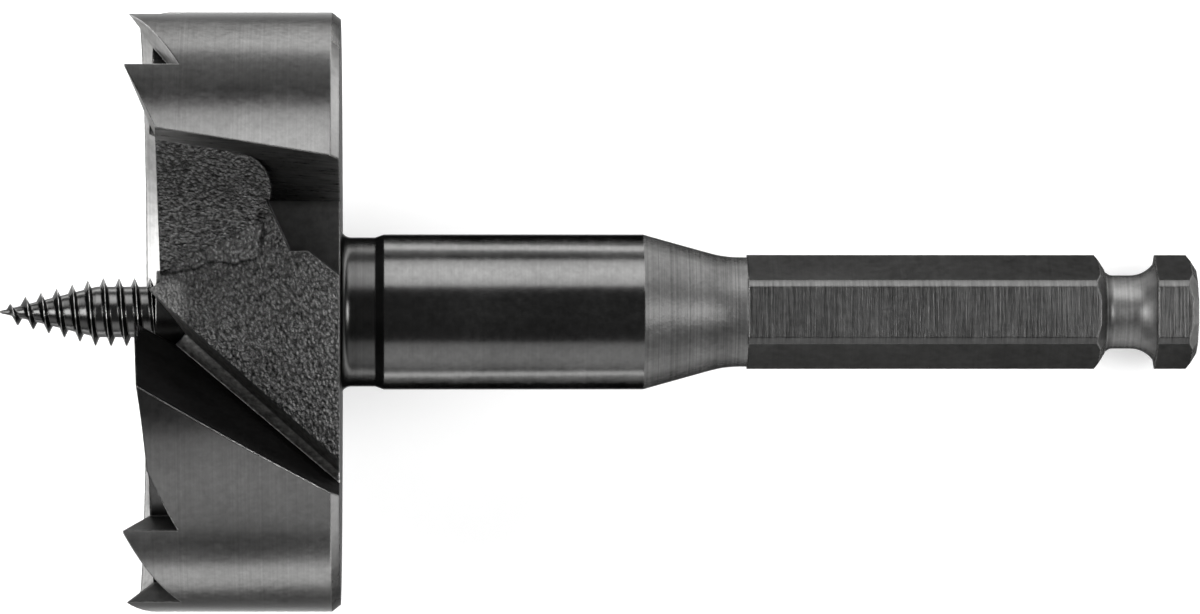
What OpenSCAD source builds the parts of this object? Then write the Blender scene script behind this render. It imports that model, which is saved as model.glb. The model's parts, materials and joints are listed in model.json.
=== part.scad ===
// Self-feed wood boring bit: a toothed head with one cutting lip, a lead screw and a hex shank.
// The bit is drawn along X with its back face at x = 0 and its throat facing +Z, then laid down to rest.

/* [Head] */
// Cutting diameter over the rim
head_d = 65.1; // [50:0.1:92]
// Depth of the head from the tooth tips to its back face
head_depth = 22.9; // [20:0.1:30]
// Axial length of the chamfer on the rim's back edge
back_chamfer_l = 0.95; // [0.3:0.05:2]
// Radial width of that chamfer
back_chamfer_w = 0.75; // [0.3:0.05:2]

/* [Rim teeth] */
// Angle between neighbouring teeth
tooth_pitch = 28; // [26:0.5:32]
// Place of the tooth beside the throat's upper edge
upper_tooth = 54.2; // [52:0.1:60]
// Place of the first tooth behind the lip
lower_tooth = -45.3; // [-52:0.1:-43]
// Axial depth of a gullet below the tooth tips
gullet_depth = 5.8; // [4:0.1:8]
// Radial width of a gullet
gullet_w = 2.2; // [1.5:0.1:4]
// Flat left on a tooth tip
tooth_land = 0.35; // [0.2:0.05:1]
// How far the plain part of the rim sits below the tooth tips
plain_drop = 0.8; // [0.3:0.1:1.5]
// Steepness of the bevel inside the rim
rim_bevel = 52; // [40:1:65]

/* [Cutting lip] */
// Place of the lip around the axis
lip_angle = -12.3; // [-18:0.1:-8]
// How far the lip sits behind the tooth tips
lip_setback = 0.35; // [0.1:0.05:1]
// Height of the lip over the front floor, at the axis
lip_h = 3.05; // [2:0.05:4]
// How much of that height is lost out at the rim
lip_fall = 1.15; // [0.3:0.05:1.6]
// Turn over which the relief behind the lip has mostly dropped
relief_turn = 20; // [12:1:40]
// Slant of the rake face from the axis
rake_angle = 31; // [24:1:36]

/* [Throat] */
// Slope of the throat's floor, from the screw up to the back face
floor_slope = 43.3; // [38:0.1:50]
// Distance of the floor from the axis at the front
floor_h = 3.65; // [3.4:0.05:5]
// Direction that the forged wall opposite the lip faces
wall_facing = -51.2; // [-58:0.1:-46]
// Forward lean of that wall
wall_lean = 11; // [7:0.1:14]
// Distance of that wall from the axis
wall_offset = 0; // [-1:0.1:2]
// Direction that the milled edge above the wall faces
edge_facing = -69.7; // [-74:0.1:-66]
// Forward lean of the milled edge
edge_lean = 10.7; // [8:0.1:14]
// Distance of the milled edge from the axis
edge_offset = 9.1; // [8:0.1:10]
// Depth of the gutter that the rake face ends in, below the floor
gutter_depth = 2.65; // [1.5:0.05:3]
// Direction that the gutter's far wall faces
gutter_facing = -70.3; // [-76:0.1:-64]
// Forward lean of that wall, which narrows the gutter towards the back
gutter_lean = 48.7; // [46:0.1:50]
// Distance of that wall from the axis at the front
gutter_offset = 0.3; // [-0.3:0.1:0.8]

/* [Milled pocket] */
// Distance of the forged wall's round end from the head's back face
wall_end = 7.3; // [6:0.1:9]
// Radius of that round end
wall_end_r = 3.9; // [2:0.1:5]
// Length of the pocket at its ridge
pocket_l = 7.9; // [7:0.1:9.5]
// Height of the ridge over the axis
pocket_high = 12; // [11:0.1:13]
// Length of the pocket at its knee
knee_l = 5.4; // [4.5:0.1:6.5]
// Height of the knee
knee_h = 6.5; // [5.5:0.1:7.5]
// Length of the level stretch after the knee
knee_w = 2; // [1:0.1:3]
// Height of the pocket's lower corner at the back face
pocket_low = 3.8; // [2:0.1:5]
// Distance of the pocket's bottom from the axis
pocket_floor = 10.4; // [9:0.1:11]

/* [Neck and collar] */
// Neck diameter
neck_d = 16.2; // [14:0.1:18]
// Radius where the neck meets the head
neck_fillet = 1.1; // [0.5:0.1:2]
// Length of the neck
neck_l = 3.75; // [3:0.05:6]
// Length of the cone between neck and collar
shoulder_l = 0.92; // [0.5:0.02:2]
// Collar diameter
collar_d = 16.87; // [16.3:0.01:20]
// Length of the collar
collar_l = 28.13; // [22:0.01:40]
// Length of the taper behind the collar
taper_l = 8.9; // [6:0.1:14]
// Diameter of the round stretch before the hex
stem_d = 11.9; // [11.2:0.1:12.6]
// Length of that stretch
stem_l = 2.4; // [1.5:0.1:5]
// Radius of the hollow blend between taper and stem
stem_blend = 12; // [4:1:16]

/* [Hex shank] */
// Width across the flats
hex_af = 11.11; // [10:0.01:13]
// Diameter that the hex corners are turned down to
hex_corner_d = 12.4; // [12:0.01:12.8]
// Length of the long hex
hex_l = 38.9; // [25:0.1:60]
// Length of the chuck groove
groove_l = 5.5; // [4.5:0.1:8]
// Diameter at the bottom of the groove
groove_d = 8; // [6.5:0.1:9]
// Radius of the hollow on the groove's shank side
groove_near_r = 0.9; // [0.4:0.1:1.2]
// Radius of the hollow on the groove's end side
groove_far_r = 3.1; // [2:0.1:3.4]
// Length of the short hex at the end
end_l = 4.5; // [3:0.1:8]
// Axial length of the chamfers on the hex ends
hex_chamfer_l = 1.1; // [0.5:0.1:1.8]
// Radial width of those chamfers
hex_chamfer_w = 1.7; // [0.8:0.1:2]

/* [Feed screw] */
// How far the screw's point stands ahead of the tooth tips
screw_lead = 14.1; // [10:0.1:20]
// Length of the tapered point
point_l = 10.5; // [7:0.1:13]
// Core diameter of the thread
core_d = 5.54; // [4.5:0.02:6]
// Outer diameter of the thread
thread_d = 7.5; // [6.5:0.1:8.6]
// Pitch of the thread
pitch = 1.69; // [1.2:0.01:2.4]
// Width of a thread at its foot
thread_w = 1.05; // [0.8:0.05:1.6]
// Place around the axis where the thread starts at the point
thread_turn = -42; // [-180:1:180]
// Diameter of the plain shank
screw_shank_d = 9; // [8.8:0.1:10]
// How far the shank reaches past the head's back face
screw_reach = 13; // [11.5:0.1:20]
// Gap between the shank and its bore, on the radius
screw_gap = 0.03; // [0.01:0.01:0.1]

/* [Set screw] */
// Diameter of the set screw
set_d = 6; // [4:0.1:7]
// Gap around the set screw, on the radius
set_gap = 0.03; // [0.01:0.01:0.1]
// Distance of the set screw from the head's back face
set_at = 8.6; // [8:0.1:9.5]
// Depth of the flat that it presses on
flat_depth = 0.6; // [0.3:0.1:1.2]
// How far the set screw sits below the collar's surface
set_recess = 0.6; // [0.2:0.1:1]
// Width across the flats of its socket
socket_af = 3; // [2:0.1:3.5]
// Depth of its socket
socket_depth = 2; // [1:0.1:2.5]

/* [Hidden] */
$fn = 96;
arc_steps = 8;
margin = 1;
far = 4*head_d;

// Levels along the axis, from the back face
rim_r = head_d/2;
tip_at = -head_depth;
lip_at = tip_at + lip_setback;
floor_at = lip_at + lip_h;
gullet_at = tip_at + gullet_depth;
plain_at = tip_at + plain_drop;
front_at = tip_at - 2*margin;
shoulder_at = neck_l + shoulder_l;
collar_end = shoulder_at + collar_l;
taper_end = collar_end + taper_l;
hex_start = taper_end + stem_l;
hex_end = hex_start + hex_l;
groove_end = hex_end + groove_l;
end_at = groove_end + end_l;

// Radii of the turned stretches
neck_r = neck_d/2;
collar_r = collar_d/2;
stem_r = stem_d/2;
corner_r = hex_corner_d/2;
hex_r = hex_af/2;
groove_r = groove_d/2;
end_r = corner_r - hex_chamfer_w;

// Teeth: two ahead of the throat with a gullet that opens into it, three behind the lip
upper_count = 3;
lower_count = 3;
teeth = concat(
    [for (i = [0:upper_count - 1]) upper_tooth + (1 - i)*tooth_pitch],
    [for (i = [0:lower_count - 1]) lower_tooth - i*tooth_pitch]);
back_slope = atan(gullet_depth/(rim_r*sin(tooth_pitch) - tooth_land));

// Feed screw and set screw
point_at = tip_at - screw_lead;
point_r = 0.12;
thread_end = floor_at - margin/2;
core_r = core_d/2;
thread_h = (thread_d - core_d)/2;
screw_r = screw_shank_d/2;
bore_r = screw_r + screw_gap;
set_r = set_d/2;
flat_at = screw_r - flat_depth;
set_top = collar_r - set_recess;

// The bit lies on the rim's back edge and on the end of the hex flat opposite the throat
end_flat_at = end_at - hex_chamfer_l*(hex_r - end_r)/hex_chamfer_w;
lay_angle = atan((rim_r - hex_r)/(end_flat_at + back_chamfer_l));
lift = rim_r*cos(lay_angle) - back_chamfer_l*sin(lay_angle);
point_x = point_at*cos(lay_angle) - point_r*sin(lay_angle);
end_x = end_at*cos(lay_angle) + end_r*sin(lay_angle);

function at(x, r, angle) = [x, r*sin(angle), r*cos(angle)];
function arc(centre, r, from, to) =
    [for (i = [0:arc_steps]) let (t = from + (to - from)*i/arc_steps) centre + r*[cos(t), sin(t)]];

// Front floor: highest at the lip and dropping away behind it
function lip_rise(r) = lip_h - lip_fall*r/rim_r;
function front_floor(turn, r) = floor_at - lip_rise(r)*exp(-max(turn, 0)/relief_turn);
// Crest of the rim: under the floor beside the lip, full height at the teeth, lower on the plain part
lip_gap = lip_angle - lower_tooth;
last_tooth = lip_gap + (lower_count - 1)*tooth_pitch;
first_tooth = 360 + lip_angle - teeth[0];
tooth_back = 8;
function crest(turn) = turn < lip_gap - tooth_back ? front_floor(turn, rim_r) + margin/2 :
    lookup(turn, [[last_tooth, tip_at], [last_tooth + tooth_back, plain_at],
        [first_tooth - tooth_back, plain_at], [first_tooth, tip_at]]);

// Solid through a row of sections that all have the same number of points
module sweep(sections) {
    n = len(sections[0]);
    last = len(sections) - 1;
    sides = [for (i = [0:last - 1], j = [0:n - 1]) let (a = i*n + j, b = i*n + (j + 1)%n)
        each [[a, b, a + n], [b, b + n, a + n]]];
    caps = [[for (j = [n - 1:-1:0]) j], [for (j = [0:n - 1]) last*n + j]];
    polyhedron([for (s = sections) each s], concat(sides, caps));
}

// Everything on the open side of a plane that faces the given direction around the axis, leans
// forward, and lies at an offset from the axis point on the front floor
module beyond(facing, lean, offset) {
    translate([floor_at, 0, 0]) rotate([-facing, 0, 0]) rotate([0, -lean, 0])
        translate([-far/2, -far/2, offset]) cube(far);
}

module turn(outline) {
    rotate([0, 90, 0]) rotate_extrude() polygon(outline);
}

module blank() {
    cone = atan((collar_r - stem_r)/taper_l);
    turn(concat(
        [[0, tip_at], [rim_r, tip_at], [rim_r, -back_chamfer_l], [rim_r - back_chamfer_w, 0]],
        arc([neck_r + neck_fillet, neck_fillet], neck_fillet, 270, 180),
        [[neck_r, neck_l], [collar_r, shoulder_at], [collar_r, collar_end]],
        arc([stem_r + stem_blend, taper_end + stem_blend*tan(cone/2)], stem_blend, 180 + cone, 180),
        [[stem_r, hex_start], [0, hex_start]]));
}

// What the chamfer takes off a hex end: twelve flats, one at each side and each corner
module chamfer_ring(end) {
    slope = hex_chamfer_w/hex_chamfer_l;
    reach = 1.25*hex_chamfer_l;
    tail = margin/4;
    difference() {
        translate([end - reach, 0, 0]) rotate([0, 90, 0]) cylinder(r = corner_r + margin, h = reach + tail);
        translate([end - 2*reach, 0, 0]) rotate([0, 90, 0]) rotate([0, 0, 15])
            cylinder(r1 = (end_r + 2*reach*slope)/cos(15), r2 = (end_r - 2*tail*slope)/cos(15),
                h = 2*reach + 2*tail, $fn = 12);
        translate([end - 2*reach, 0, 0]) rotate([0, 90, 0]) cylinder(r = end_r - margin/20, h = 4*reach);
    }
}

module hex_shank() {
    near_foot = hex_end + groove_near_r;
    far_rise = min(hex_r - groove_r - margin/8, groove_far_r);
    far_run = sqrt(pow(groove_far_r, 2) - pow(groove_far_r - far_rise, 2));
    far_sweep = asin(far_run/groove_far_r);
    difference() {
        intersection() {
            translate([hex_start, 0, 0]) rotate([0, 90, 0]) rotate([0, 0, 30])
                cylinder(r = hex_r/cos(30), h = end_at - hex_start, $fn = 6);
            turn(concat(
                [[0, hex_start], [corner_r, hex_start], [corner_r, hex_end], [end_r - margin/10, hex_end]],
                arc([groove_r + groove_near_r, near_foot], groove_near_r, 225, 180),
                arc([groove_r + groove_far_r, groove_end - far_run], groove_far_r, 180, 180 - far_sweep),
                [[corner_r, groove_end], [corner_r, end_at], [0, end_at]]));
        }
        chamfer_ring(hex_end);
        chamfer_ring(end_at);
    }
}

// Space in front of the floor and inside the rim's bevel
module front_recess() {
    core = margin/3;
    over = margin;
    step = 2.5;
    from = -20;
    to = 360 + lip_angle - upper_tooth + 0.8*tooth_pitch;
    sections = [for (turn = [from:step:to]) let (
            angle = lip_angle - turn,
            top = crest(turn),
            foot = rim_r - (front_floor(turn, rim_r) - top)/tan(rim_bevel))
        [at(front_at - over*tan(rim_bevel), rim_r + over, angle),
            at(top - over*tan(rim_bevel), rim_r + over, angle), at(front_floor(turn, foot), foot, angle),
            at(front_floor(turn, core), core, angle), at(front_at, core, angle)]];
    sweep(sections);
}

module gullet(angle) {
    run = (gullet_at - front_at)/tan(back_slope);
    intersection() {
        difference() {
            rotate([0, -90, 0]) cylinder(r = 2*rim_r, h = far, center = true);
            rotate([0, -90, 0]) cylinder(r = rim_r - gullet_w, h = 2*far, center = true);
        }
        rotate([-angle, 0, 0]) linear_extrude(2*rim_r)
            polygon([[front_at, 0], [gullet_at, 0], [front_at, run]]);
    }
}

// Forged hollow between the rake face, the sloping floor and the wall opposite the lip
module throat() {
    rake_offset = (lip_at - floor_at)*sin(rake_angle);
    intersection() {
        beyond(lip_angle + 90, -rake_angle, rake_offset);
        beyond(0, floor_slope, floor_h);
        beyond(wall_facing, wall_lean, -wall_offset);
        beyond(edge_facing, edge_lean, -edge_offset);
    }
    intersection() {
        beyond(lip_angle + 90, -rake_angle, rake_offset);
        beyond(0, floor_slope, floor_h - gutter_depth);
        beyond(gutter_facing, gutter_lean, gutter_offset);
    }
}

// Two milled passes in the back corner of the throat: one carries on the milled edge past the end of
// the forged wall as far as the ridge, and the other is deeper and lies below the ridge
module pocket() {
    centre = [-wall_end - wall_end_r, pocket_high + margin];
    low = pocket_high - margin/2;
    intersection() {
        beyond(edge_facing, edge_lean, -edge_offset);
        linear_extrude(2*rim_r)
            polygon(concat(arc(centre, wall_end_r, 90, asin((low - centre[1])/wall_end_r)),
                [[margin, low], [margin, 2*rim_r], [centre[0], 2*rim_r]]));
    }
    translate([0, 0, pocket_floor]) linear_extrude(rim_r)
        polygon([[-pocket_l, pocket_high], [-knee_l, knee_h], [knee_w - knee_l, knee_h], [0, pocket_low],
            [margin, pocket_low], [margin, pocket_high]]);
}

module screw_bore() {
    translate([front_at, 0, 0]) rotate([0, 90, 0])
        cylinder(r = bore_r, h = screw_reach + screw_gap - front_at);
}

module set_hole() {
    translate([set_at, 0, -2*collar_r]) cylinder(r = set_r + set_gap, h = 2*collar_r);
}

// Puts the bit down on its rim and shank, with the throat up and the middle of its length at x = 0
module lay() {
    translate([-(point_x + end_x)/2, 0, lift]) rotate([0, lay_angle, 0]) children();
}

module bit_body() {
    color("#3a3b3d") lay() {
        difference() {
            union() {
                blank();
                hex_shank();
            }
            front_recess();
            for (angle = teeth) gullet(angle);
            throat();
            pocket();
            screw_bore();
            set_hole();
        }
    }
}

module thread() {
    steps = 24;
    turns = (thread_end + pitch/2 - point_at)/pitch;
    sections = [for (i = [1:floor(turns*steps)]) let (
            x = point_at + pitch*i/steps,
            angle = thread_turn - 360*i/steps,
            core = core_r*min((x - point_at)/point_l, 1),
            fade = min(i/steps, 1),
            half = thread_w/2*fade)
        [at(x - half, core*0.9, angle), at(x, core + thread_h*fade, angle), at(x + half, core*0.9, angle)]];
    sweep(sections);
}

module feed_screw() {
    color("#202124") lay() difference() {
        union() {
            turn([[0, point_at], [point_r, point_at], [core_r, point_at + point_l], [core_r, thread_end],
                [screw_r, thread_end], [screw_r, screw_reach - margin/2],
                [screw_r - margin/2, screw_reach], [0, screw_reach]]);
            thread();
        }
        translate([set_at - set_d, -screw_r, -2*screw_r]) cube([far, 2*screw_r, 2*screw_r - flat_at]);
    }
}

module set_screw() {
    color("#2b2c2e") lay() translate([set_at, 0, 0]) rotate([180, 0, 0]) difference() {
        translate([0, 0, flat_at]) cylinder(r = set_r, h = set_top - flat_at);
        translate([0, 0, set_top - socket_depth])
            cylinder(r = socket_af/2/cos(30), h = socket_depth + margin, $fn = 6);
    }
}

bit_body();
feed_screw();
set_screw();
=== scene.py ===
# %% [markdown]
# # A self-feed wood boring bit
# The bit is forged in one piece, turned and milled, then blackened in a hot oxide bath. All of its shape is in
# the solids, so this lesson adds no mesh to it. It loads the solids, finds the bit's own axes, and gives each
# stretch of the steel the finish that its own step of making left behind: forged grain, turned lines, milled
# faces, ground edges.

# %% Load the solids
import json
from math import cos, radians, sin

import bpy
from mathutils import Matrix, Vector

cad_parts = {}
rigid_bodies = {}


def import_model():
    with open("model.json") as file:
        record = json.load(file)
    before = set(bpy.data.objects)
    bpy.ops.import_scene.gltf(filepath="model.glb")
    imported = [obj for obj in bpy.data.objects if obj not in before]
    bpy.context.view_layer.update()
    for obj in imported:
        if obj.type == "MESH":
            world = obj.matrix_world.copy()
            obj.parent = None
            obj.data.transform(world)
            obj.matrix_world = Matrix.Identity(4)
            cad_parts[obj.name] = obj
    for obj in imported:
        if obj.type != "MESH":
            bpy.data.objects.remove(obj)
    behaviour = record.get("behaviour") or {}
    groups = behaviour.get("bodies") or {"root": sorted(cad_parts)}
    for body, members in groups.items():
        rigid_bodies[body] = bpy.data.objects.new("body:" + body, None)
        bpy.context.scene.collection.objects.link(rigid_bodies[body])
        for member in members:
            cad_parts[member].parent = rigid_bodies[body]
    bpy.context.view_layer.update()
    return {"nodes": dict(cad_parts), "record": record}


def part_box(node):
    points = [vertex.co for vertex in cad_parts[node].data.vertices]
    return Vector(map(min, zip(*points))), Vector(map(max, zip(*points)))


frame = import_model()
print("solids:", sorted(frame["nodes"]))

# %% [markdown]
# ## The bit's own axes
# The bit lies tilted on the rim of its head and the end of its shank, so the world's axes say little about it.
# The record's places give better ones: the hex shank's axis runs along the bit, and the upper drive flat faces
# straight out of the throat. Every finish below is placed in millimetres along the bit from the head's back
# face, and by the distance from its axis, so a turned line stays a turned line however the bit lies.

# %% Find the axes
places = {place["name"]: place for place in frame["record"]["mounts"]}
ALONG = Vector(places["hex_shank"]["axis"]).normalized()
OUT = Vector(places["drive_flat_top"]["axis"]).normalized()
ACROSS = OUT.cross(ALONG)
HEX_MIDDLE = 63.5
BACK_FACE = Vector(places["hex_shank"]["pos_m"]) - 0.001*HEX_MIDDLE*ALONG
RIM_R = 500*(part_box("bit_body")[1].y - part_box("bit_body")[0].y)
print(f"rim radius {RIM_R:.2f} mm, back face at {tuple(round(x, 4) for x in BACK_FACE)}")


def spot(along, across, out):
    """A point of the bit, in millimetres from the middle of the head's back face."""
    return BACK_FACE + 0.001*(along*ALONG + across*ACROSS + out*OUT)


def heading(around, lean):
    """The direction that faces so far around the axis from the throat and leans so far to the front."""
    sideways = sin(radians(around))*ACROSS + cos(radians(around))*OUT
    return cos(radians(lean))*sideways - sin(radians(lean))*ALONG


# %% [markdown]
# ## Sums in a shader
# A finish is mostly arithmetic: a mask times a tone, plus a line times its depth. Drawn by hand that takes a
# page of Math nodes, so one small class wraps a socket and each operator adds the node that works it out.
# Every other node comes from `add`. It makes the settings first, because they decide which sockets there are.

# %% A socket that takes part in sums
class Wire:
    def __init__(self, tree, socket=None):
        self.tree = tree
        self.socket = socket

    def add(self, kind, settings=None, sockets=None, out=0):
        node = self.tree.nodes.new(kind)
        for name, value in (settings or {}).items():
            setattr(node, name, value)
        for name, value in (sockets or {}).items():
            if isinstance(value, Wire):
                self.tree.links.new(value.socket, node.inputs[name])
            else:
                node.inputs[name].default_value = value
        return Wire(self.tree, node.outputs[out])

    def sum(self, operation, first, second):
        return self.add("ShaderNodeMath", {"operation": operation}, {0: first, 1: second})

    def __add__(self, other):
        return self.sum("ADD", self, other)

    def __sub__(self, other):
        return self.sum("SUBTRACT", self, other)

    def __rsub__(self, other):
        return self.sum("SUBTRACT", other, self)

    def __mul__(self, other):
        return self.sum("MULTIPLY", self, other)

    def __truediv__(self, other):
        return self.sum("DIVIDE", self, other)

    def __rtruediv__(self, other):
        return self.sum("DIVIDE", other, self)

    def __pow__(self, other):
        return self.sum("POWER", self, other)

    def __rpow__(self, other):
        return self.sum("POWER", other, self)

    __radd__ = __add__
    __rmul__ = __mul__

    def most(self, other):
        return self.sum("MAXIMUM", self, other)

    def vector(self, operation, other, out=0):
        return self.add("ShaderNodeVectorMath", {"operation": operation}, {0: self, 1: other}, out)

    def dot(self, direction):
        return self.vector("DOT_PRODUCT", direction, "Value")

    def rise(self, low, high):
        """0 below low, 1 above high, and a smooth ramp between them."""
        return self.add("ShaderNodeMapRange", {"interpolation_type": "SMOOTHSTEP"},
                        {"Value": self, "From Min": low, "From Max": high})

    def within(self, low, high, soft):
        """1 between low and high, with ramps of the given width around both."""
        return self.rise(low - soft/2, low + soft/2)*(1 - self.rise(high - soft/2, high + soft/2))


def grey(value):
    return (value, value, value, 1)


# %% [markdown]
# ## Where a point of the surface is
# The Object output of Texture Coordinate gives the place of a point, and the Geometry node its flat normal.
# Dot products with the bit's axes turn both into the bit's own directions. Noise read at that place gives
# blots, and noise read along one measure only gives lines, as a tool leaves them on turning steel. A Bevel node
# rounds the normal near an edge, and where it differs from the flat one there is an edge.

# %% Places and directions in a material
RAYS = 6
STEEL_TINT = (1.0, 0.995, 0.985)


class Surface:
    def __init__(self, name):
        self.material = bpy.data.materials.new(name)
        self.material.use_nodes = True
        self.tree = self.material.node_tree
        self.shader = self.tree.nodes["Principled BSDF"]
        self.start = Wire(self.tree)
        offset = self.start.add("ShaderNodeTexCoord", out="Object").vector("SUBTRACT", BACK_FACE)
        self.mm = offset.add("ShaderNodeVectorMath", {"operation": "SCALE"}, {0: offset, "Scale": 1000.0})
        self.along = self.mm.dot(ALONG)
        self.across = self.mm.dot(ACROSS)
        self.out = self.mm.dot(OUT)
        self.radius = (self.across*self.across + self.out*self.out)**0.5
        self.normal = self.start.add("ShaderNodeNewGeometry", out="True Normal")

    def faces(self, direction):
        """1 where the surface faces within about 6 degrees of the direction, 0 elsewhere."""
        return self.normal.dot(direction).rise(0.990, 0.994)

    def mottle(self, per_mm, detail, roughness, place=None):
        """Cloudy noise from 0 to 1 with so many blots to the millimetre."""
        return self.start.add("ShaderNodeTexNoise", {"noise_dimensions": "3D"}, {
            "Vector": place or self.mm, "Scale": per_mm, "Detail": detail, "Roughness": roughness}, "Fac")

    def lines(self, measure, per_mm, detail, roughness):
        """Noise from 0 to 1 that changes along one measure only."""
        return self.start.add("ShaderNodeTexNoise", {"noise_dimensions": "1D"}, {
            "W": measure, "Scale": per_mm, "Detail": detail, "Roughness": roughness}, "Fac")

    def edges(self, radius_mm):
        """The rounded normal near edges, and a mask of the edges."""
        rounded = self.start.add("ShaderNodeBevel", {"samples": RAYS}, {"Radius": 0.001*radius_mm})
        return rounded, 1 - rounded.dot(self.normal)

    def shelter(self, reach_mm):
        """1 out in the open and less in hollow corners."""
        return self.start.add("ShaderNodeAmbientOcclusion", {"samples": RAYS, "only_local": True},
                              {"Distance": 0.001*reach_mm}, "AO")

    def set(self, name, value):
        if isinstance(value, Wire):
            self.tree.links.new(value.socket, self.shader.inputs[name])
        else:
            self.shader.inputs[name].default_value = value

    def dress(self, tone, roughness, edge_tone, height_mm, normal):
        """A metal of this tone and roughness, with the relief on top of the rounded normal."""
        self.set("Base Color", self.start.add("ShaderNodeMix", {"data_type": "RGBA", "clamp_factor": True},
                                              {0: tone, 6: grey(0), 7: (*STEEL_TINT, 1)}, 2))
        self.set("Roughness", roughness)
        self.set("Metallic", 1.0)
        self.set("Specular Tint", grey(edge_tone))
        self.set("Normal", self.start.add("ShaderNodeBump", None, {
            "Height": height_mm, "Distance": 0.001, "Normal": normal}))

    def second_skin(self, mask, edge_tone):
        """The same finish with another tint at grazing angles, where the mask is 1."""
        shared = {name: Wire(self.tree, self.shader.inputs[name].links[0].from_socket)
                  for name in ("Base Color", "Roughness", "Normal")}
        skin = self.start.add("ShaderNodeBsdfPrincipled", None,
                              {**shared, "Metallic": 1.0, "Specular Tint": grey(edge_tone)})
        both = self.start.add("ShaderNodeMixShader", None,
                              {0: mask, 1: Wire(self.tree, self.shader.outputs[0]), 2: skin})
        self.tree.links.new(both.socket, self.tree.nodes["Material Output"].inputs["Surface"])


# %% [markdown]
# ## The head: which step of making left which face
# The forging's raw skin stays on the throat's floor and on the wall opposite the lip. The rim and its back
# chamfer are turned. The gutter under the lip and the edge above the wall are milled, and the front and the
# backs of the teeth are ground after blackening. Painting these by hand would need an unwrapped mesh, so each
# mask comes from the place along the bit, the distance from the axis and the way the face looks.

# %% Masks of the head
body = Surface("black_steel")
along, across, radius = body.along, body.across, body.radius
lean_back = body.normal.dot(ALONG)

behind = along.rise(0.03, 0.06)
head = 1 - behind
outward = (across*body.normal.dot(ACROSS) + body.out*body.normal.dot(OUT))/radius
rim = head*radius.rise(RIM_R - 0.14, RIM_R - 0.08)*outward.rise(0.85, 0.95)
chamfer = head*along.rise(-0.97, -0.93)*radius.rise(RIM_R - 0.82, RIM_R - 0.7)
chamfer = chamfer*lean_back.within(0.35, 0.93, 0.1)

FLOOR, FRONT = heading(0, 43.3), -19.5
floor_height = body.mm.dot(FLOOR) - FRONT*FLOOR.dot(ALONG)
throat_floor = head*body.faces(FLOOR)*floor_height.rise(2.2, 2.6)
throat_wall = head*body.faces(heading(-51.2, 11))
forged = throat_floor.most(throat_wall)
gutter = head*body.faces(FLOOR).most(body.faces(heading(-70.3, 48.7)))*(1 - throat_floor)
milled = head*body.faces(heading(-69.7, 10.7))
ground = head*(1 - lean_back.rise(-0.45, -0.3))*(1 - forged)*(1 - gutter)*(1 - rim)
print("masks of the head:", len(body.tree.nodes), "nodes")

# %% [markdown]
# ## The shank: one stretch after another
# Behind the head everything is turned round, apart from the hex. So the place along the bit is enough to tell
# neck, shoulder, collar, taper, hex and groove apart. Only the drive flat that faces out of the throat and the
# one opposite show cross lines from the mill, and the hex ends are chamfered, their lighter tone a painted
# highlight.

# %% Masks of the shank
NECK_END, SHOULDER_END, COLLAR_END = 3.75, 4.67, 32.8
TAPER_END, HEX_END, GROOVE_END = 44.1, 83.0, 88.5

neck = behind*(1 - along.rise(NECK_END - 0.03, NECK_END + 0.03))
shoulder = along.within(NECK_END, SHOULDER_END, 0.06)
collar = along.within(SHOULDER_END, COLLAR_END, 0.06)
taper = along.within(COLLAR_END, TAPER_END, 0.3)
hexagon = along.within(TAPER_END, HEX_END, 0.02) + along.rise(GROOVE_END - 0.01, GROOVE_END + 0.01)
groove = along.within(HEX_END, GROOVE_END, 0.02)
hex_ends = hexagon*(lean_back*lean_back).rise(0.05, 0.15)
broad_flats = hexagon*(body.normal.dot(OUT)**2).rise(0.6, 0.9)
print("masks of the body:", len(body.tree.nodes), "nodes")

# %% [markdown]
# ## A finish for each mask
# A real oxide skin is dark magnetite over steel, so it is a metal with a dark base colour. Each mask carries
# its own tone, roughness, and the contrast and depth of its turned rings. A table keeps them side by side, where
# one can be tuned against its neighbour, and one function blends a column of it over the body.

# %% Table of finishes
TONE, ROUGHNESS, CONTRAST, DEPTH_MM = 1, 2, 3, 4
FINISHES = [
    (rim, 0.086, 0.22, 0.16, 0.0004),
    (chamfer, 0.118, 0.34, 0.10, 0.0005),
    (forged, 0.142, 0.36, 0.00, 0.0000),
    (gutter, 0.400, 0.40, 0.00, 0.0000),
    (milled, 0.150, 0.38, 0.00, 0.0000),
    (ground, 0.480, 0.40, 0.05, 0.0000),
    (neck, 0.048, 0.24, 0.30, 0.0010),
    # The shoulder's near-black tone is painted shade in the gap between neck and collar.
    (shoulder, 0.020, 0.45, 0.10, 0.0000),
    (collar, 0.080, 0.20, 0.10, 0.0003),
    (taper, 0.094, 0.44, 0.45, 0.0030),
    (hexagon, 0.048, 0.33, 0.10, 0.0006),
    # The lighter tone of the hex end chamfers is a painted highlight.
    (hex_ends, 0.200, 0.42, 0.10, 0.0006),
    (groove, 0.125, 0.42, 0.30, 0.0020),
]
ELSEWHERE = (None, 0.062, 0.36, 0.06, 0.0003)


def blend(column):
    total = ELSEWHERE[column]
    for row in FINISHES:
        total = total + row[0]*(row[column] - ELSEWHERE[column])
    return total


print("finishes:", len(FINISHES))

# %% [markdown]
# ## Marks of the tools
# Turning leaves rings around the axis, some fine and some broad. Facing the front leaves rings that depend on
# the distance from the axis. The mill leaves cuts across the drive flats, and streaks in the gutter. These are
# noises stretched far along one direction. The bath adds clouds and a finer bloom all over.

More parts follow.
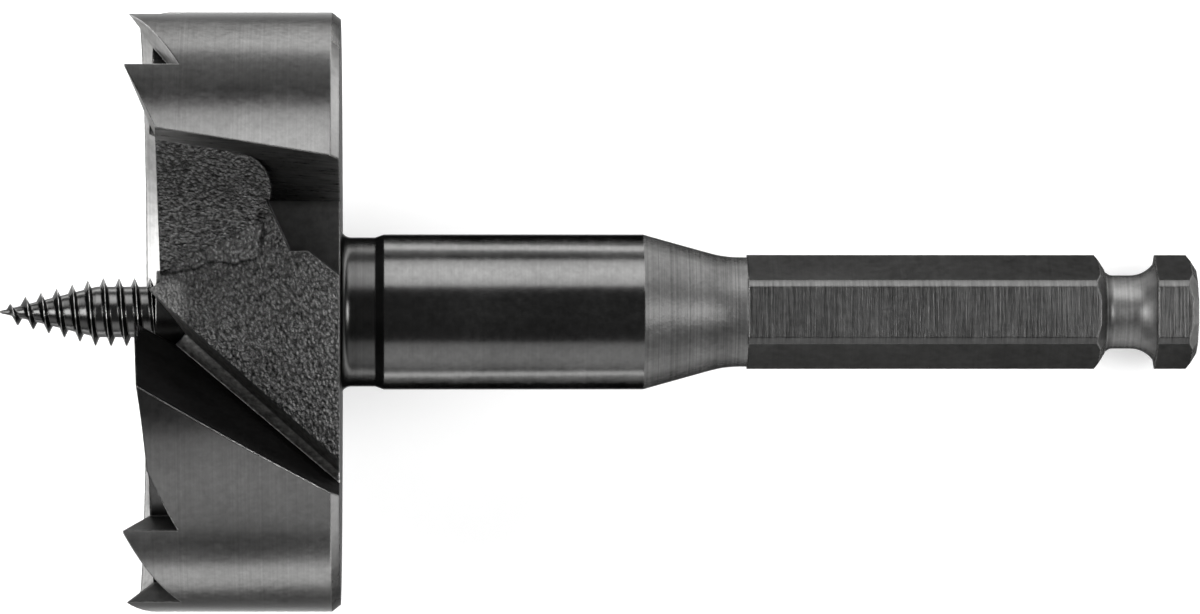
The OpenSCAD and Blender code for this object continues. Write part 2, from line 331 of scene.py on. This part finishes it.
# %% Lines, cuts and clouds
clouds = body.mottle(0.10, 4.0, 0.6)
bloom = body.mottle(1.2, 5.0, 0.7)
specks = body.mottle(3.0, 3.0, 0.6)
rings = body.lines(along, 3.4, 5.0, 0.75)*0.75 + body.lines(along, 0.35, 3.0, 0.5)*0.25
faced = body.lines(radius, 2.6, 5.0, 0.7)
cut_place = body.start.add("ShaderNodeCombineXYZ", None, {0: along*3.6, 1: across*0.15, 2: body.out*0.15})
cuts = body.mottle(1.0, 4.0, 0.7, cut_place)
streaks = body.mottle(1.0, 4.0, 0.65, body.mm.vector("MULTIPLY", (0.12, 2.2, 2.2)))
print("with tool marks:", len(body.tree.nodes), "nodes")

# %% [markdown]
# ## The forged skin
# Scale on a forging leaves a skin of small crumbs. Voronoi cells give the crumbs, and a little noise in the
# place that they are read at keeps them from looking like tiles. The crumbs are raised in the relief and also
# brightened in the tone as painted glints. The die left a raised pad on the wall with a wandering seam around it,
# and beside the screw the skin is smeared smooth. The pad's lower part is lightened as painted light, and the seam
# is a dark line of painted shadow under the pad's step.

# %% Crumbs, pad and seam
grain = body.mottle(1.5, 4.0, 0.68)
push = body.start.add("ShaderNodeTexNoise", None, {"Vector": body.mm, "Scale": 3.0, "Detail": 2.0}, "Color")
crumb_place = push.add("ShaderNodeVectorMath", {"operation": "MULTIPLY_ADD"},
                       {0: push, 1: (0.4, 0.4, 0.4), 2: body.mm})
cells = crumb_place.add("ShaderNodeTexVoronoi", {"feature": "F1"},
                        {"Vector": crumb_place, "Scale": 2.3}, "Distance")
# Crumbs of scale in the relief; in the tone they also brighten as painted glints.
crumbs_and_glints = 1 - cells.rise(0.12, 0.75)
smear = (1 - along.rise(-17.4, -15.8))*across.within(-1.6, 3.6, 1.4)
rough_skin = forged*(1 - smear*0.6)

wander = (body.mottle(0.3, 2.0, 0.5) - 0.5)*1.6
pad_side = across - along*0.166 - 7.42 + wander
pad_end = along + 8.6 + wander
pad = forged*pad_side.rise(-0.25, 0.25)*(1 - pad_end.rise(-0.3, 0.3))
# Lower part of the pad, lightened in the tone as painted light.
pad_painted_light = pad*(1 - across.rise(10.5, 13.0))
side_seam = pad_side.within(-0.30, 0.05, 0.3)*(1 - pad_end.rise(-0.2, 0.4))
end_seam = pad_end.within(-0.1, 0.45, 0.3)*pad_side.rise(-0.3, 0.2)*(1 - across.rise(10.0, 11.5))
# The seam line, darkened in the tone as painted shadow of the pad's step.
seam_painted_shadow = forged*side_seam.most(end_seam)
print("with the forged skin:", len(body.tree.nodes), "nodes")

# %% [markdown]
# ## Tone, gloss and relief of the body
# The table's tone is varied by clouds, bloom and tool marks. Hollow corners are darkened as painted shade, and
# on outer edges the black is rubbed down to brighter steel. Seen at a slant the oxide mirrors less than bare
# metal would, which Specular Tint gives. The polished rim mirrors more, so it has a second skin.

# %% Finish of the body
BARE, SLANT, RIM_SLANT = 0.24, 0.12, 0.34
rounded, turned = body.edges(0.28)
# Occlusion: 1 in the open, less in hollows; it darkens hollows as painted shade and keeps wear off them.
openness_for_shade_and_wear = body.shelter(1.2)
worn = turned.rise(0.03, 0.20)*openness_for_shade_and_wear.rise(0.72, 0.92)*specks.rise(0.3, 0.7)

tone = blend(TONE)*(0.72 + clouds*0.56)*(1 + (1 - forged)*(bloom*0.8 - 0.4))
# Hollow corners are darkened through the occlusion: painted shade.
tone = tone*(1 + blend(CONTRAST)*(rings*4 - 2))*(0.45 + openness_for_shade_and_wear*0.55)
# Forged grain and crumbs vary the tone; the crumbs add painted glints, the seam painted shadow, the lower pad
# painted light.
tone = tone*(1 + rough_skin*(grain*1.8 - 1.4 + crumbs_and_glints*0.9))*(1 - seam_painted_shadow*0.6)*(1 + pad_painted_light*0.5)
# The throat wall is darkened as painted shade, and the floor is darker on its side away from the wall.
tone = tone*(1 - throat_wall*0.32)*(1 - throat_floor*(1 - across.rise(-24, -6))*0.45)
tone = tone*(1 + gutter.most(milled)*(streaks*2.4 - 1.2))
tone = tone*(1 + ground*(faced*4 - 2)*0.16)*(1 + broad_flats*(cuts*3.4 - 1.1))
tone = tone + worn*(BARE - tone)

gloss = blend(ROUGHNESS) + (clouds - 0.5)*0.10 + (bloom - 0.5)*0.12
relief = rough_skin*(grain + crumbs_and_glints*0.22) + pad*0.35 + blend(DEPTH_MM)*rings*4
relief = relief + broad_flats*cuts*0.03 + taper*bloom*0.05
body.dress(tone, gloss, SLANT, relief, rounded)
body.second_skin(rim, RIM_SLANT)
print("black_steel:", len(body.tree.nodes), "nodes")

# %% [markdown]
# ## The lead screw and its set screw
# The lead screw is rolled and blackened on its own, so it is smoother than the head. Its crests rub through the
# wood, and the bevelled normal finds them by itself. The set screw is a small satin-black bought part.

# %% Finish of the screws
def screw_finish(name, black, gloss, bright, reach_mm):
    screw = Surface(name)
    patches = screw.mottle(0.5, 4.0, 0.6)
    dust = screw.mottle(6.0, 2.0, 0.5)
    soft, bent = screw.edges(reach_mm)
    rubbed = bent.rise(0.05, 0.30)*screw.shelter(0.8).rise(0.55, 0.85)*(0.4 + patches*0.9)
    skin = black*(0.6 + patches*0.8)
    screw.dress(skin + rubbed*(bright - skin), gloss + (patches - 0.5)*0.12 + (dust - 0.5)*0.08, 0.5,
                dust*0.004 + patches*0.01, soft)
    print(f"{name}: {len(screw.tree.nodes)} nodes")
    return screw.material


dressing = {
    "bit_body": body.material,
    "feed_screw": screw_finish("screw_steel", 0.075, 0.24, 0.45, 0.22),
    "set_screw": screw_finish("set_steel", 0.055, 0.38, 0.20, 0.20),
}
for node, material in dressing.items():
    for slot in frame["nodes"][node].material_slots:
        slot.material = material
print("dressed:", sorted(dressing))

# %% [markdown]
# ## Floor
# The bit lies on one pale sheet. A brighter lamp would make the sheet white too, but it would bleach the steel. So
# the sheet shines a little towards the camera and in reflections, and its matt part still takes the shadow. It
# fades to a pale grey some way out, and mirroring that grey gives the round steel its darker bands.

# %% Lay the floor
SHEET_R, CORNERS, FADE_START, FADE_END = 1.5, 64, 0.09, 0.26
WHITE, PALE, SHINE = 0.80, 0.45, 0.38
turns = [radians(360*i/CORNERS) for i in range(CORNERS)]
sheet = bpy.data.meshes.new("floor_sheet")
sheet.from_pydata([(SHEET_R*cos(turn), SHEET_R*sin(turn), 0) for turn in turns], [], [list(range(CORNERS))])
floor = bpy.data.objects.new("floor", sheet)
floor.location.z = -0.0001
bpy.context.scene.collection.objects.link(floor)
print("floor:", len(sheet.vertices), "corners")

# %% Paint the floor
paper = bpy.data.materials.new("white_sheet")
paper.use_nodes = True
sheet.materials.append(paper)
page = Wire(paper.node_tree)
place = page.add("ShaderNodeTexCoord", out="Object")
away = place.add("ShaderNodeVectorMath", {"operation": "LENGTH"}, {0: place}, "Value")
far = away.rise(FADE_START, FADE_END)
seen = page.add("ShaderNodeLightPath", out="Is Camera Ray")
for ray in ("Is Glossy Ray", "Is Transmission Ray"):
    seen = seen.most(page.add("ShaderNodeLightPath", out=ray))
paint = page.add("ShaderNodeMix", {"data_type": "RGBA"}, {0: far, 6: grey(WHITE), 7: grey(PALE)}, 2)
glow = page.add("ShaderNodeMix", {"data_type": "RGBA"}, {0: seen*(1 - far), 6: grey(0), 7: grey(SHINE)}, 2)
matt = page.add("ShaderNodeBsdfPrincipled", None, {
    "Base Color": paint, "Roughness": 0.9, "Specular IOR Level": 0.0,
    "Emission Color": glow, "Emission Strength": 1.0})
paper.node_tree.links.new(matt.socket, paper.node_tree.nodes["Material Output"].inputs["Surface"])
paper.node_tree.nodes.remove(paper.node_tree.nodes["Principled BSDF"])
print("white_sheet:", len(paper.node_tree.nodes), "nodes")

# %% [markdown]
# ## Light
# Polished dark steel shows its lights as bands. A large soft box on the upper side and a dimmer one on the lower
# side leave the space around the camera dark, so the round collar gets a light band, a black middle and a grey
# band. A box ahead of the screw lights the front, and two near the camera, to its left and right, bring out the
# cuts across the hex and the rings on the taper. Two low strips beside the bit face up, and the rim mirrors
# them as a light band near its upper and lower edges.

# %% Set the lamps
BEAM = radians(100)
STRIP_LENGTH, STRIP_HEIGHT = 0.34, 0.002
SHANK_FRONT = spot(25, 0, 0)


def stand(thing, place, back, right):
    """Puts a lamp or a camera at a place, with its back and its right side to these directions."""
    thing.matrix_world = Matrix((right, back.cross(right), back)).transposed().to_4x4()
    thing.matrix_world.translation = place
    bpy.context.scene.collection.objects.link(thing)


def soft_lamp(name, width, height, radiance, place, back, right):
    data = bpy.data.lights.new(name, "AREA")
    data.shape = "RECTANGLE"
    data.size, data.size_y = width, height
    data.energy = 4*width*height*radiance
    lamp = bpy.data.objects.new(name, data)
    lamp.visible_camera = False
    stand(lamp, place, back, right)
    print(f"{name}: {data.energy:.2f} W")
    return data


def soft_box(name, towards, distance, width, height, radiance):
    right = ALONG - ALONG.dot(towards)*towards
    right = ACROSS if right.length < 0.2 else right.normalized()
    box = soft_lamp(name, width, height, radiance, SHANK_FRONT + distance*towards, towards, right)
    box.spread = BEAM


def floor_strip(name, across, width, radiance):
    place = Vector((0, across, STRIP_HEIGHT))
    soft_lamp(name, STRIP_LENGTH, width, radiance, place, Vector((0, 0, -1)), Vector((1, 0, 0)))


soft_box("upper_box", heading(61, 0), 0.70, 0.90, 0.58, 1.15)
soft_box("lower_box", heading(-69, 0), 0.70, 0.90, 0.60, 0.35)
soft_box("front_box", heading(0, 80), 0.60, 0.50, 0.35, 0.90)
soft_box("left_box", heading(0, 40), 0.75, 0.30, 0.36, 2.4)
soft_box("right_box", heading(0, -34), 0.75, 0.30, 0.30, 2.7)
floor_strip("upper_strip", 0.087, 0.056, 4.2)
floor_strip("lower_strip", -0.118, 0.070, 3.0)

world = bpy.data.worlds.new("room")
world.use_nodes = True
world.node_tree.nodes["Background"].inputs["Color"].default_value = grey(0.12)
bpy.context.scene.world = world

# %% [markdown]
# ## Camera
# The photo looks straight into the throat, square to the bit's axis and from well back, so a long lens stands
# on the line out of the throat. It is aimed a little along the shank, to where the picture's middle is.

# %% Place the camera
DISTANCE, PICTURE_WIDTH = 900, 130.44
eye, aim = spot(6.4, 0.54, DISTANCE), spot(28.15, 0.54, 0)
lens = bpy.data.cameras.new("camera")
lens.sensor_width = 36
lens.lens = lens.sensor_width*DISTANCE/PICTURE_WIDTH
camera = bpy.data.objects.new("camera", lens)
back = (eye - aim).normalized()
stand(camera, eye, back, ACROSS.cross(back).normalized())
bpy.context.scene.camera = camera
bpy.context.scene.view_settings.view_transform = "Standard"
print(f"lens {lens.lens:.1f} mm")
